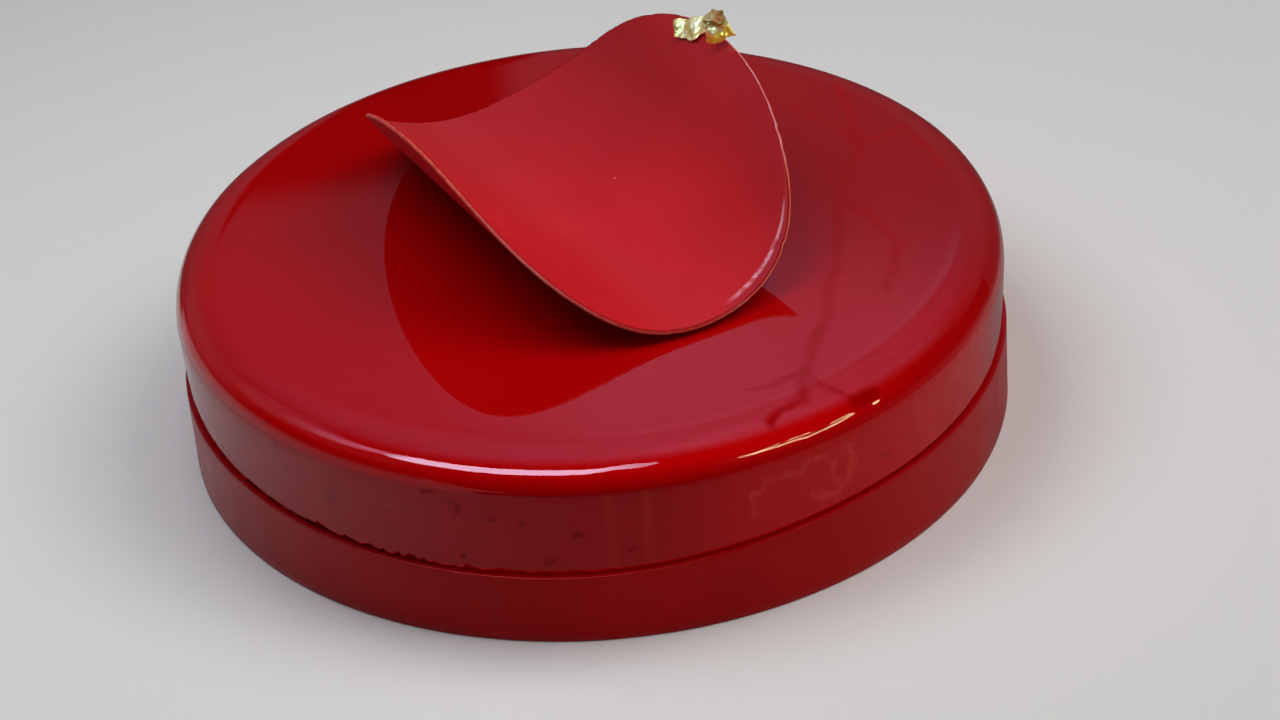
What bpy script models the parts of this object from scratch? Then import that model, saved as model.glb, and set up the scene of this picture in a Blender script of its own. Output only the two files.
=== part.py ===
"""Round glazed entremet with a chocolate band, a bent chocolate disc and a flake of gold leaf.

Metres, +Z up. The origin is the middle of the base and the front faces -Y.
"""
import math

import bmesh
import bpy
from mathutils import Vector, noise

# Gap that two touching pieces keep
GAP = 0.0003

# The cake: a 20 cm ring mould under 2 mm of glaze
CAKE_HEIGHT = 0.0500
GLAZE_RADIUS = 0.1020
GLAZE_SHOULDER_RADIUS = 0.1027
GLAZE_EDGE_REACH = 0.0097
GLAZE_EDGE_DROP = 0.0105
GLAZE_LIP_RADIUS = 0.0011
GLAZE_LIP_GAP = 0.0007
NECK_DEPTH = 0.0012
CAKE_SEGMENTS = 144
EDGE_STEPS = 7
LIP_STEPS = 3

# The chocolate band round the foot. Its upper rim dips in front: depth, azimuth in degrees, reach to each side.
BAND_RADIUS = 0.1030
BAND_HEIGHT = 0.0211
BAND_THICKNESS = 0.0019
BAND_ROUNDING = 0.0004
RIM_DIP = 0.0027
RIM_DIP_AZIMUTH = -98.0
RIM_DIP_REACHES = (70.0, 50.0)

# The bent chocolate disc: a round sheet bent into an open trough, which lies on the glaze.
# Slopes are of the bend, in degrees, at equal steps from its back right end to its left end.
DISC_RADIUS = 0.0633
DISC_REACH = 0.0577
DISC_THICKNESS = 0.0011
DISC_CENTRE = (-0.0008, 0.0040)
DISC_BEND_HEADING = -160.1
DISC_SLOPES = (-41.0, -54.0, -25.0, -3.5, 28.0, 50.0, 75.0)
DISC_TWIST = (0.005, 0.130, -0.040)
DISC_FAN = (-0.043, 0.049)
DISC_RINGS = 10
DISC_SEGMENTS = 72
PROFILE_STEPS = 96

# The crumpled gold leaf: a strip that lies against the disc near its top and curls into a loop at its right.
# Its two long edges are set in millimetres along the disc's edge, up its slope and off its face.
MM = 0.001
LEAF_ANCHOR = (0.93, 193.0)
LEAF_FOOT_LINE = (
    (-8.4, -1.3, 1.3), (-5.6, -0.8, 0.7), (-1.5, -0.2, 0.8), (-0.5, 1.8, 0.8), (2.6, 3.4, 0.8),
    (8.3, 4.9, 1.0), (8.4, 2.9, 1.0), (6.4, 0.6, 2.0), (5.2, 0.4, 3.0),
)
LEAF_TOP_LINE = (
    (-10.0, 2.6, 2.2), (-7.3, 3.9, 1.2), (-5.0, 5.2, 1.6), (-2.0, 6.6, 1.4), (2.6, 8.6, 3.6),
    (6.8, 9.1, 4.3), (8.8, 7.2, 4.9), (6.7, 5.1, 5.9), (5.0, 4.7, 6.6),
)
LEAF_TIP = (3.0, 0.4, 0.0)
LEAF_TIP_PLACE = 0.66
LEAF_TIP_WIDTH = 0.05
LEAF_THICKNESS = 0.0003
LEAF_CRUMPLE = 0.0009
LEAF_CREASE_SIZE = 0.0030
LEAF_COLUMNS = 66
LEAF_ROWS = 6


def clear_scene():
    for item in list(bpy.data.objects):
        bpy.data.objects.remove(item, do_unlink=True)


def finish_material(name, colour, roughness, metallic=0.0):
    material = bpy.data.materials.new(name)
    material.use_nodes = True
    shader = material.node_tree.nodes["Principled BSDF"]
    shader.inputs["Base Color"].default_value = (*colour, 1.0)
    shader.inputs["Roughness"].default_value = roughness
    shader.inputs["Metallic"].default_value = metallic
    return material


def new_object(name, points, faces, material, smooth_angle=None):
    mesh = bpy.data.meshes.new(name)
    mesh.from_pydata([tuple(p) for p in points], [], faces)
    work = bmesh.new()
    work.from_mesh(mesh)
    bmesh.ops.recalc_face_normals(work, faces=work.faces)
    work.to_mesh(mesh)
    work.free()
    if smooth_angle is not None:
        mesh.shade_smooth()
        mesh.set_sharp_from_angle(angle=math.radians(smooth_angle))
    mesh.materials.append(material)
    item = bpy.data.objects.new(name, mesh)
    bpy.context.scene.collection.objects.link(item)
    return item


def arc(centre, reach, start, end, steps, rise=None):
    """Points (r, z) on an arc from start to end, in degrees; with its own rise it is part of an ellipse."""
    rise = reach if rise is None else rise
    points = []
    for i in range(steps + 1):
        angle = math.radians(start + (end - start) * i / steps)
        points.append((centre[0] + reach * math.cos(angle), centre[1] + rise * math.sin(angle)))
    return points


def turned(profile_at, segments, ring):
    """Points and faces of a profile turned about Z; profile_at gives the profile at an angle."""
    points = []
    faces = []
    for i in range(segments):
        angle = 2 * math.pi * i / segments
        profile = profile_at(angle)
        for r, z in profile:
            points.append((r * math.cos(angle), r * math.sin(angle), z))
    count = len(profile)
    for i in range(segments):
        here = i * count
        there = (i + 1) % segments * count
        for k in range(count if ring else count - 1):
            up = (k + 1) % count
            faces.append((here + k, there + k, there + up, here + up))
    if not ring:
        low = len(points)
        points.append((0.0, 0.0, profile[0][1]))
        points.append((0.0, 0.0, profile[-1][1]))
        for i in range(segments):
            here = i * count
            there = (i + 1) % segments * count
            faces.append((there, here, low))
            faces.append((here + count - 1, there + count - 1, low + 1))
    return points, faces


def rim_height(angle):
    """The height of the band's upper rim, which dips in front."""
    turn = (math.degrees(angle) - RIM_DIP_AZIMUTH + 180.0) % 360.0 - 180.0
    share = min(1.0, abs(turn) / RIM_DIP_REACHES[0 if turn < 0 else 1])
    return BAND_HEIGHT - RIM_DIP * (1 - share * share * (3 - 2 * share))


def glaze_profile(angle):
    """Straight foot, a rounded lip over the band, a side that widens upwards and a soft top edge."""
    foot = min(BAND_RADIUS - BAND_THICKNESS - GAP, GLAZE_RADIUS - NECK_DEPTH)
    lip = (GLAZE_RADIUS - GLAZE_LIP_RADIUS, rim_height(angle) + GLAZE_LIP_GAP + GLAZE_LIP_RADIUS)
    edge = (GLAZE_SHOULDER_RADIUS - GLAZE_EDGE_REACH, CAKE_HEIGHT - GLAZE_EDGE_DROP)
    profile = [(foot, 0.0), (foot, lip[1] - GLAZE_LIP_RADIUS)]
    profile += arc(lip, GLAZE_LIP_RADIUS, -90.0, 0.0, LIP_STEPS)
    return profile + arc(edge, GLAZE_EDGE_REACH, 0.0, 90.0, EDGE_STEPS, rise=GLAZE_EDGE_DROP)


def glazed_cake(material):
    points, faces = turned(glaze_profile, CAKE_SEGMENTS, ring=False)
    return new_object("glazed_cake", points, faces, material, 40)


def band_profile(angle):
    """A thin upright ring of chocolate with a softened upper rim."""
    outer = BAND_RADIUS
    inner = BAND_RADIUS - BAND_THICKNESS
    top = rim_height(angle) - BAND_ROUNDING
    profile = [(outer, 0.0)]
    profile += arc((outer - BAND_ROUNDING, top), BAND_ROUNDING, 0.0, 90.0, 2)
    profile += arc((inner + BAND_ROUNDING, top), BAND_ROUNDING, 90.0, 180.0, 2)
    return profile + [(inner, 0.0)]


def chocolate_band(material):
    points, faces = turned(band_profile, CAKE_SEGMENTS, ring=True)
    return new_object("chocolate_band", points, faces, material, 40)


def smooth_value(values, share):
    """A smooth curve through equally spaced values, read at share, 0 to 1."""
    place = min(max(share, 0.0), 1.0) * (len(values) - 1)
    k = min(int(place), len(values) - 2)
    t = place - k
    before = values[k - 1] if k else 2 * values[0] - values[1]
    after = values[k + 2] if k + 2 < len(values) else 2 * values[-1] - values[-2]
    a = (values[k + 1] - before) / 2
    b = (after - values[k]) / 2
    step = values[k + 1] - values[k]
    return values[k] + t * (a + t * (3 * step - 2 * a - b + t * (a + b - 2 * step)))


def disc_profile():
    """The bend seen along its straight lines: distance along, height and slope at equal steps."""
    step = 2 * DISC_REACH / PROFILE_STEPS
    rows = []
    along = 0.0
    height = 0.0
    for i in range(PROFILE_STEPS + 1):
        slope = math.radians(smooth_value(DISC_SLOPES, i / PROFILE_STEPS))
        if i:
            middle = (slope + rows[-1][2]) / 2
            along += step * math.cos(middle)
            height += step * math.sin(middle)
        rows.append((along, height, slope))
    middle_row = rows[PROFILE_STEPS // 2]
    return [(r[0] - middle_row[0], r[1] - middle_row[1], r[2]) for r in rows]


PROFILE = disc_profile()


def disc_middle(s, w, lift=0.0):
    """The disc's middle surface at flat coordinates s along the bend and w across it, each -1 to 1."""
    place = (s + 1) / 2 * PROFILE_STEPS
    k = min(max(int(place), 0), PROFILE_STEPS - 1)
    t = place - k
    along, height, slope = [a + (b - a) * t for a, b in zip(PROFILE[k], PROFILE[k + 1])]
    off = (DISC_TWIST[0] + DISC_TWIST[1] * s + DISC_TWIST[2] * s * s) * w * DISC_RADIUS
    slide = (DISC_FAN[0] * s + DISC_FAN[1] * s * s) * w * DISC_RADIUS
    across = w * DISC_RADIUS
    along += slide * math.cos(slope) - off * math.sin(slope)
    height += slide * math.sin(slope) + off * math.cos(slope)
    turn = math.radians(DISC_BEND_HEADING)
    x = DISC_CENTRE[0] + along * math.cos(turn) - across * math.sin(turn)
    y = DISC_CENTRE[1] + along * math.sin(turn) + across * math.cos(turn)
    return Vector((x, y, height + lift))


def disc_normal(s, w):
    nudge = 0.01
    a = disc_middle(s + nudge, w) - disc_middle(s - nudge, w)
    b = disc_middle(s, w + nudge) - disc_middle(s, w - nudge)
    return a.cross(b).normalized()


def disc_faces():
    """Flat coordinates of the disc's points, ring by ring, and the triangles of one side."""
    places = [(0.0, 0.0)]
    for ring in range(1, DISC_RINGS + 1):
        reach = ring / DISC_RINGS
        for k in range(DISC_SEGMENTS):
            angle = 2 * math.pi * k / DISC_SEGMENTS
            places.append((reach * math.cos(angle), reach * math.sin(angle)))
    triangles = []
    for k in range(DISC_SEGMENTS):
        after = (k + 1) % DISC_SEGMENTS
        triangles.append((0, 1 + k, 1 + after))
        for ring in range(DISC_RINGS - 1):
            low = 1 + ring * DISC_SEGMENTS
            high = low + DISC_SEGMENTS
            triangles.append((low + k, high + k, high + after))
            triangles.append((low + k, high + after, low + after))
    return places, triangles


def disc_lift():
    """How far the middle surface is raised so that the underside clears the glaze by the gap."""
    places, _ = disc_faces()
    half = DISC_THICKNESS / 2
    lowest = min((disc_middle(s, w) - disc_normal(s, w) * half).z for s, w in places)
    return CAKE_HEIGHT + GAP - lowest


LIFT = disc_lift()


def chocolate_disc(material):
    places, triangles = disc_faces()
    count = len(places)
    half = DISC_THICKNESS / 2
    upper = []
    lower = []
    for s, w in places:
        middle = disc_middle(s, w, LIFT)
        normal = disc_normal(s, w)
        upper.append(middle + normal * half)
        lower.append(middle - normal * half)
    faces = list(triangles)
    faces += [(a + count, c + count, b + count) for a, b, c in triangles]
    rim = count - DISC_SEGMENTS
    for k in range(DISC_SEGMENTS):
        a = rim + k
        b = rim + (k + 1) % DISC_SEGMENTS
        faces.append((b, a, a + count))
        faces.append((b, a + count, b + count))
    return new_object("chocolate_disc", upper + lower, faces, material, 40)


def wobble(point):
    """A smooth sideways shift that differs from place to place."""
    shifts = [Vector((0.0, 0.0, 0.0)), Vector((7.0, 3.0, 1.0)), Vector((2.0, 9.0, 5.0))]
    return Vector([noise.noise(point + shift) for shift in shifts])


def leaf_frame():
    """The leaf's anchor on the disc's face, with the directions along the edge, up the slope and off it."""
    share, angle = LEAF_ANCHOR
    turn = math.radians(angle)
    outward = Vector((math.cos(turn), math.sin(turn)))
    spot = outward * share
    nudge = 0.001
    middle = disc_middle(spot.x, spot.y, LIFT)
    out = disc_normal(spot.x, spot.y)
    slope = disc_middle(spot.x + outward.x * nudge, spot.y + outward.y * nudge, LIFT) - middle
    along = slope.cross(out).normalized()
    return middle + out * (DISC_THICKNESS / 2), along, out.cross(along), out


LEAF_FRAME = leaf_frame()


def leaf_middle(u, v):
    """The leaf's middle surface: u runs along the strip and v from its lower edge to its upper one."""
    low = smooth_value([Vector(p) for p in LEAF_FOOT_LINE], u)
    high = smooth_value([Vector(p) for p in LEAF_TOP_LINE], u)
    tip = max(0.0, 1 - abs(u - LEAF_TIP_PLACE) / LEAF_TIP_WIDTH) * (1 - v) ** 4
    spot = low.lerp(high, v) + Vector(LEAF_TIP) * tip
    origin, along, up, out = LEAF_FRAME
    point = origin + (along * spot.x + up * spot.y + out * spot.z) * MM
    return point + wobble(point / LEAF_CREASE_SIZE) * (LEAF_CRUMPLE * (0.3 + 0.7 * v))


def gold_leaf(material):
    nudge = 0.004
    upper = []
    lower = []
    for i in range(LEAF_COLUMNS + 1):
        for j in range(LEAF_ROWS + 1):
            u = i / LEAF_COLUMNS
            v = j / LEAF_ROWS
            along = leaf_middle(u + nudge, v) - leaf_middle(u - nudge, v)
            up = leaf_middle(u, v + nudge) - leaf_middle(u, v - nudge)
            offset = along.cross(up).normalized() * (LEAF_THICKNESS / 2)
            upper.append(leaf_middle(u, v) + offset)
            lower.append(leaf_middle(u, v) - offset)
    count = len(upper)
    stride = LEAF_ROWS + 1
    faces = []
    for i in range(LEAF_COLUMNS):
        for j in range(LEAF_ROWS):
            a = i * stride + j
            b = a + stride
            faces += [(a, b, b + 1), (a, b + 1, a + 1)]
            faces += [(a + count, b + 1 + count, b + count), (a + count, a + 1 + count, b + 1 + count)]
    rim = [i * stride for i in range(LEAF_COLUMNS)]
    rim += [LEAF_COLUMNS * stride + j for j in range(LEAF_ROWS)]
    rim += [i * stride + LEAF_ROWS for i in range(LEAF_COLUMNS, 0, -1)]
    rim += list(range(LEAF_ROWS, 0, -1))
    for k, a in enumerate(rim):
        b = rim[(k + 1) % len(rim)]
        faces += [(a, a + count, b + count), (a, b + count, b)]
    return new_object("gold_leaf", upper + lower, faces, material)


def main():
    clear_scene()
    glazed_cake(finish_material("red_mirror_glaze", (0.40, 0.001, 0.002), 0.05))
    chocolate_band(finish_material("red_chocolate_band", (0.35, 0.002, 0.003), 0.35))
    chocolate_disc(finish_material("red_chocolate_disc", (0.60, 0.010, 0.013), 0.3))
    gold_leaf(finish_material("gold_leaf", (0.95, 0.68, 0.2), 0.2, 1.0))


main()
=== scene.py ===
"""Looks of the glazed entremet: mirror glaze, chocolate band, bent chocolate disc and gold leaf.

Metres, +Z up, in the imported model's frame. The front faces -Y. Azimuths are degrees from +X towards +Y.
"""
import math

import bmesh
import bpy
import numpy as np
from mathutils import Matrix, Vector, noise


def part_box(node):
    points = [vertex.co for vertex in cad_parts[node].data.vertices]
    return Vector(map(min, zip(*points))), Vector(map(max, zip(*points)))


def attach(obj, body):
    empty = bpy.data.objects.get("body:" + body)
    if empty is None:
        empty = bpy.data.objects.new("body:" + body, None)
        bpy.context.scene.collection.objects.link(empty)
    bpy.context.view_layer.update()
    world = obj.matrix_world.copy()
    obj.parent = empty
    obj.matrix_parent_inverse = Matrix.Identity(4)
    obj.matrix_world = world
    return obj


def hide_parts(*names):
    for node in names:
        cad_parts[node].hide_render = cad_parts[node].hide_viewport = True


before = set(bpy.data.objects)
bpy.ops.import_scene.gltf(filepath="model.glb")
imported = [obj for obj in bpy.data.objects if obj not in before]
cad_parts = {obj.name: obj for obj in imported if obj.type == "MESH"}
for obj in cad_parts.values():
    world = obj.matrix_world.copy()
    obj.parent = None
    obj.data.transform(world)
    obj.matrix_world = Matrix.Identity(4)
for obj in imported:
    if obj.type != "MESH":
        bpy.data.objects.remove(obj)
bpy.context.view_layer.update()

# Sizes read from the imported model
CAKE_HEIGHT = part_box("glazed_cake")[1].z
GLAZE_SHOULDER_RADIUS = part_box("glazed_cake")[1].x
BAND_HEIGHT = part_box("chocolate_band")[1].z
BAND_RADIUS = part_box("chocolate_band")[1].x

# The camera, fitted to the photograph's round outlines
CAMERA_DISTANCE = 0.8905
CAMERA_ELEVATION = 33.208
CAMERA_YAW = 0.688
CAMERA_PITCH = 0.510
CAMERA_ROLL = -4.794
CAMERA_LENS = 98.44

MM = 0.001

# The glaze's form
GLAZE_RADIUS = 0.1020
GLAZE_EDGE_REACH = 0.0124
GLAZE_EDGE_DROP = 0.0121
GLAZE_EDGE_POWER = 2.5
GLAZE_EDGE_STEPS = 40
GLAZE_LIP_RADIUS = 0.0006
GLAZE_LIP_STEPS = 8
LIP_CLEARANCE = 0.0006
NECK_DEPTH = 0.0012
GLAZE_SEGMENTS = 480
GLAZE_SIDE_ROWS = 14
GLAZE_TOP_RINGS = 108
GLAZE_GAP = 0.0003

# How uneven the glaze is
LIP_SAG = 0.00003
LIP_RAGGED = 0.0024
LIP_RAGGED_AZIMUTH = -125.0
SIDE_SLIM = 0.00012
SIDE_SWELL = 0.0001
EDGE_SHIFT = 0.0005

# Veins in the glaze's right half: each a width and a route over the top, in millimetres
VEINS = (
    (1.9, ((69, 62), (70, 42), (71, 28), (68, 18), (65, 9), (63, -1), (61, -13), (58, -32), (54, -52),
           (49, -67), (47, -75), (45, -84))),
    (1.5, ((56, 51), (62, 44), (67, 37), (71, 28))),
    (1.2, ((71, 28), (78, 32), (83, 35), (88, 24), (91, 12))),
    (2.3, ((64, 1), (68, -5), (72, -13), (75, -22), (81, -19))),
    (1.9, ((75, -22), (72, -32), (70, -43))),
    (1.3, ((33, -80), (39, -79), (47, -75), (50, -80), (57, -83), (63, -79))),
    (1.3, ((45, -84), (41, -87), (37, -91))),
)
VEIN_WANDER = 1.4
VEIN_WANDER_SIZE = 9.0
VEIN_REACH = 4.0
VEIN_FADE = 1.35

# The band's form and how uneven it is
BAND_THICKNESS = 0.0019
BAND_ROUNDING = 0.0004
BAND_BEVEL = (0.0003, 0.0004)
BAND_SEGMENTS = 480
BAND_ROWS = 8
BAND_RIM_STEPS = 6
BAND_UNEVEN = 0.0001
BAND_BULGE = 0.00008
RIM_UNEVEN = 0.00012

# The band's upper rim dips in front: depth, azimuth and reach to each side
RIM_DIP = 0.0027
RIM_DIP_AZIMUTH = -98.0
RIM_DIP_REACHES = (70.0, 50.0)

# The disc's form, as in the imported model
DISC_RADIUS = 0.0633
DISC_REACH = 0.0577
DISC_THICKNESS = 0.0011
DISC_CENTRE = (-0.0008, 0.0040)
DISC_BEND_HEADING = -160.1
DISC_SLOPES = (-41.0, -54.0, -25.0, -3.5, 28.0, 50.0, 75.0)
DISC_TWIST = (0.005, 0.130, -0.040)
DISC_FAN = (-0.043, 0.049)
DISC_REST = 0.00005
DISC_RINGS = 44
DISC_RING_POWER = 0.9
DISC_SEGMENTS = 360
PROFILE_STEPS = 240

# Its cut edge: how far it is rounded, in how many steps, and its large and small chips
CUT_ROUNDING = 0.00045
CUT_STEPS = 5
CUT_CHIPS = (0.00048, 0.00024)

# Round part of the disc its face rolls down to the edge. In degrees round the disc: where the roll fades in
# and out, where it narrows from the first width to the second, and where its pink gleam fades in and out.
ROLL_WIDTHS = (0.0028, 0.0010)
ROLL_DEPTH = 0.0005
ROLL_ROWS = 12
ROLL_SPAN = (98.0, 114.0, 138.0, 154.0)
ROLL_NARROWS = (110.0, 148.0)
GLEAM_SPAN = (103.0, 112.0, 129.0, 140.0)

# The crumpled gold leaf: a strip against the disc near its top that curls into a loop at its right end. Its
# two long edges are set in millimetres along the disc's edge, up its slope and off its face.
LEAF_ANCHOR = (0.93, 193.0)
LEAF_FOOT_LINE = (
    (-8.4, -1.3, 1.3), (-5.6, -0.8, 0.7), (-1.5, -0.2, 0.8), (-0.5, 1.8, 0.8), (2.6, 3.4, 0.8),
    (8.3, 4.9, 1.0), (8.4, 2.9, 1.0), (6.4, 0.6, 2.0), (5.2, 0.4, 3.0),
)
LEAF_TOP_LINE = (
    (-10.0, 2.6, 2.2), (-7.3, 3.9, 1.2), (-5.0, 5.2, 1.6), (-2.0, 6.6, 1.4), (2.6, 8.6, 3.6),
    (6.8, 9.1, 4.3), (8.8, 7.2, 4.9), (6.7, 5.1, 5.9), (5.0, 4.7, 6.6),
)
LEAF_TIP = (3.0, 0.4, 0.0)
LEAF_TIP_PLACE = 0.66
LEAF_TIP_WIDTH = 0.05
LEAF_THICKNESS = 0.0001
LEAF_CRUMPLE = 0.0009
LEAF_CREASE_SIZE = 0.0030
LEAF_FINE_CRUMPLE = 0.00024
LEAF_FINE_SIZE = 0.0011
LEAF_COLUMNS = 150
LEAF_ROWS = 24

# Reds of the glaze, its marks and the groove under its lip, all colours linear. The glaze's two reds are
# painted shade at the back and painted light at the front, the edge red is painted light, the far right and
# side reds are painted shade, and the lip red and the groove's glow are painted light.
GLAZE_REDS = ((0.37, 0.0003, 0.0008), (0.465, 0.0005, 0.0012))
GLAZE_EDGE_LIGHT_RED = (0.80, 0.0005, 0.0012)
GLAZE_FAR_RIGHT_SHADE_RED = (0.345, 0.0003, 0.0008)
SIDE_FRONT_SHADE_RED = (0.345, 0.0005, 0.0012)
SIDE_RIGHT_SHADE_RED = (0.30, 0.0005, 0.0012)
VEIN_RED = (0.39, 0.0, 0.0003)
FLAW_RED = (0.14, 0.0, 0.001)
PALE_RED = (0.66, 0.07, 0.055)
STREAK_RED = (0.62, 0.06, 0.002)
LIP_LIGHT_RED = (0.75, 0.0005, 0.001)
GROOVE_GLOW = (1.0, 0.0, 0.002)

# Reds of the band, and of the disc's faces and cut edge. The band's rim red is the glaze's stain, lightened
# as painted light; the disc's back, right and roll reds are painted shade, and the gleam and the cut edge's
# right pink are painted highlights.
BAND_REDS = ((0.33, 0.001, 0.002), (0.39, 0.002, 0.003))
BAND_RIM_STAIN_AND_LIGHT_RED = (0.30, 0.0, 0.001)
DISC_REDS = ((0.58, 0.008, 0.011), (0.64, 0.011, 0.015))
DISC_BACK_SHADE_RED = (0.50, 0.014, 0.018)
DISC_RIGHT_SHADE_RED = (0.36, 0.004, 0.008)
DISC_ROLL_SHADE_RED = (0.40, 0.0, 0.001)
SPECK_PINK = (0.85, 0.28, 0.28)
GLEAM_PINK = (0.95, 0.38, 0.48)
UNDERSIDE_REDS = ((0.50, 0.0005, 0.003), (0.56, 0.001, 0.005))
CUT_REDS = ((0.60, 0.055, 0.04), (0.74, 0.12, 0.08))
CUT_UPPER_RED = (0.50, 0.003, 0.007)
CUT_ROLLED_ORANGE = (0.95, 0.40, 0.20)
CUT_RIGHT_HIGHLIGHT_PINK = (0.86, 0.29, 0.33)

# Golds of the leaf, with painted shade at its start and at the top of its loop, and the orange foot of its
# loop
LEAF_GOLDS = ((0.84, 0.66, 0.22), (0.93, 0.84, 0.48))
LEAF_START_SHADE_GOLD = (0.45, 0.32, 0.04)
LOOP_TOP_SHADE_GOLD = (0.34, 0.26, 0.05)
LOOP_FOOT_GOLD = (0.88, 0.50, 0.03)

# Tints of mirror reflections
GLAZE_TINT = (1.0, 0.40, 0.45)
VEIN_TINT = (0.70, 0.0, 0.0)
FLAW_TINT = (0.2, 0.0, 0.0)
BAND_TINT = (1.0, 0.08, 0.08)
DISC_TINT = (1.0, 0.45, 0.5)
UNDERSIDE_TINT = (0.8, 0.05, 0.08)

# How strongly the glaze's marks show, and the painted light on its lip and on the stain of the band's rim
# shows and glows, and roughness
PALE_SHARE = 0.30
SMUDGE_SHARE = 0.52
PIT_SHARES = (0.2, 0.6)
STREAK_SHARE = 0.10
LIP_SHARE = 0.7
LIP_GLOW = 0.05
STAIN_SHARE = 0.85
STAIN_GLOW = 0.035
GLAZE_ROUGHNESS = 0.018
VEIN_ROUGHNESS = 0.06

# Where the glaze's red changes: a pair is where a change starts and ends, and four values are where a part
# fades in and out. The painted shade on the far right has a pair for each axis.
GLAZE_FORWARD = (-0.3, -1.0, 0.0)
BACK_TO_FRONT = (-0.09, 0.09)
EDGE_GLOW_HEIGHTS = (0.0404, 0.0452, 0.0452, CAKE_HEIGHT - 0.0005)
EDGE_GLOW_SPAN = (-180.0, -165.0, -75.0, -35.0)
EDGE_GLOW_GROWTH = (-150.0, -105.0)
FAR_RIGHT = ((0.05, 0.095), (-0.06, -0.02), (0.040, 0.046))
SIDE_TOP = (0.0404, 0.0414)
SIDE_FOOT = (-0.001, 0.0)
SIDE_FRONT = (-180.0, -160.0, -88.0, -68.0)
SIDE_RIGHT = (-30.0, -15.0, 110.0, 125.0)
STREAKS = ((-91.1, -90.6, -89.9, -89.4), (-86.4, -85.8, -85.2, -84.6))
LIP_OVER_RIM = (-0.0006, -0.0003, 0.0009, 0.0012)
RIM_STAIN = (-0.0007, -0.0003)

# The groove's glow and the side's runs change on the left, and change back round the back
GROOVE_CHANGE = (-125.0, -100.0)
RUNS_CHANGE = (-150.0, -125.0)
BACK_CHANGE = (150.0, 180.0)
GROOVE_FAINT = 0.1
RUNS_FAINT = 0.15

# Marks on the glaze's side, as azimuths and heights in millimetres: dark smudges with their sizes, the routes
# of a pale outline and a pale smear, and where the side is pitted and where it is cloudy
SMUDGES = (
    (-153.5, 38.3, 1.6), (-136.0, 33.0, 1.2), (-128.6, 32.0, 2.4), (-121.0, 27.5, 1.1), (-113.2, 40.0, 1.3),
    (-110.1, 36.4, 1.5), (-105.7, 34.3, 1.8), (-101.1, 33.3, 1.1), (-98.6, 22.2, 1.7), (-94.4, 30.1, 1.3),
    (-51.0, 28.5, 1.3), (-162.0, 36.0, 1.0), (-158.0, 30.0, 1.5), (-148.5, 31.5, 1.7), (-142.0, 37.0, 1.2),
    (-117.0, 34.0, 1.1), (-88.0, 25.0, 1.0),
)
PALE_OUTLINE = (
    (-71.8, 26.5), (-71.6, 32.1), (-69.9, 35.5), (-67.0, 36.1), (-65.6, 34.3), (-63.1, 37.0), (-60.8, 36.1),
    (-60.0, 33.0), (-59.4, 29.2), (-57.9, 25.8), (-59.3, 24.1), (-63.1, 27.0),
)
PALE_SMEAR = ((-57.2, 37.0), (-56.6, 33.0), (-57.0, 28.0), (-58.5, 25.5))
SIDE_MM_PER_DEGREE = 1.79
PITTED_SPAN = (-166.0, -160.0, -92.0, -86.0)
CLOUDY_SPAN = (-52.0, -44.0, -12.0, -4.0)

# Where the disc's red changes: along two headings in metres, and across the roll, 0 at the edge and 1 at its
# inner line
DISC_BACKWARD = (0.4, 1.0, 0.0)
DISC_BACK = (0.0, 0.05)
DISC_RIGHTWARD = (1.0, 0.15, 0.0)
DISC_RIGHT = (0.034, 0.046)
ROLL_SHADE = (0.75, 0.95)
GLEAM_PLACE = (0.68, 0.93, 1.13, 1.38)
CUT_RIGHT = (0.025, 0.045)
CUT_LOWER = (0.1, 0.6)

# Where the leaf's gold changes, as shares along the strip and across it
LEAF_START = (0.06, 0.16)
LOOP_START = (0.55, 0.66)
LOOP_TOP = (0.62, 0.85)
LOOP_FOOT = (0.35, 0.5)

# What the mirror glaze reflects: a long soft strip in front, as stations of azimuth, lowest and highest
# elevation, dimmer at both ends
STRIP_STATIONS = (
    (-154, 33, 38), (-150, 30, 42), (-146, 30, 43), (-134, 30, 43), (-118, 28, 43), (-102, 28, 42),
    (-96, 28, 41), (-92, 31, 42), (-88, 34, 44), (-84, 32, 45), (-80, 33, 43), (-76, 36, 40),
)
STRIP_STEPS = 8
STRIP_DISTANCE = 6.0
STRIP_COLOUR = (0.40, 0.82, 1.0)
STRIP_RADIANCE = 30.0
STRIP_LEFT_END = (-155.0, -145.0, 0.35, 1.0)
STRIP_RIGHT_END = (-98.0, -78.0, 1.0, 0.45)

# Thin warm lamps beside the cake, each a route of azimuth, height and half height, in millimetres
LAMP_RADIUS = 0.195
LAMPS = (
    ((-65.6, 52.0, 0.5), (-61.9, 49.6, 3.4), (-59.5, 48.4, 2.2), (-57.0, 46.3, 1.8), (-53.4, 45.2, 1.8),
     (-51.6, 38.8, 1.8), (-47.4, 40.9, 1.8), (-43.8, 42.8, 1.8), (-40.6, 48.5, 1.8)),
    ((-60.5, 52.5, 1.2), (-56.8, 56.4, 1.0)),
    ((-55.3, 56.6, 1.2), (-50.4, 52.6, 1.4)),
    ((-46.1, 53.6, 1.2), (-41.8, 54.8, 1.6), (-40.6, 50.0, 1.6)),
    ((-35.7, 43.5, 4.5), (-33.9, 42.5, 3.0)),
)
LAMP_STEPS = 4
LAMP_COLOUR = (0.55, 1.0, 0.50)
LAMP_RADIANCE = 36.0

# Low dark cards round the cake, which leave a gap on the left: the glow of each, and stations of azimuth,
# lowest and highest height in millimetres
CARD_RADIUS = 0.240
CARDS = (
    ((0.0, 0.0, 0.0), ((-165, 36, 76), (-127, 36, 76), (-116, 8, 76), (-108, 0, 76), (15, 0, 76))),
    ((0.10, 0.040, 0.042), ((15, 0, 30), (150, 0, 30))),
)
CARD_STEPS = 60

# The light that mirrors see above: its strength at the top, its rise to the right and its fade to the front
SKY_LIGHT = 1.15
SKY_RISE = 0.45
SKY_TILT = (0.186, 0.36, 1.0)
SKY_FADE = (0.38, 0.90)

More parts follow.
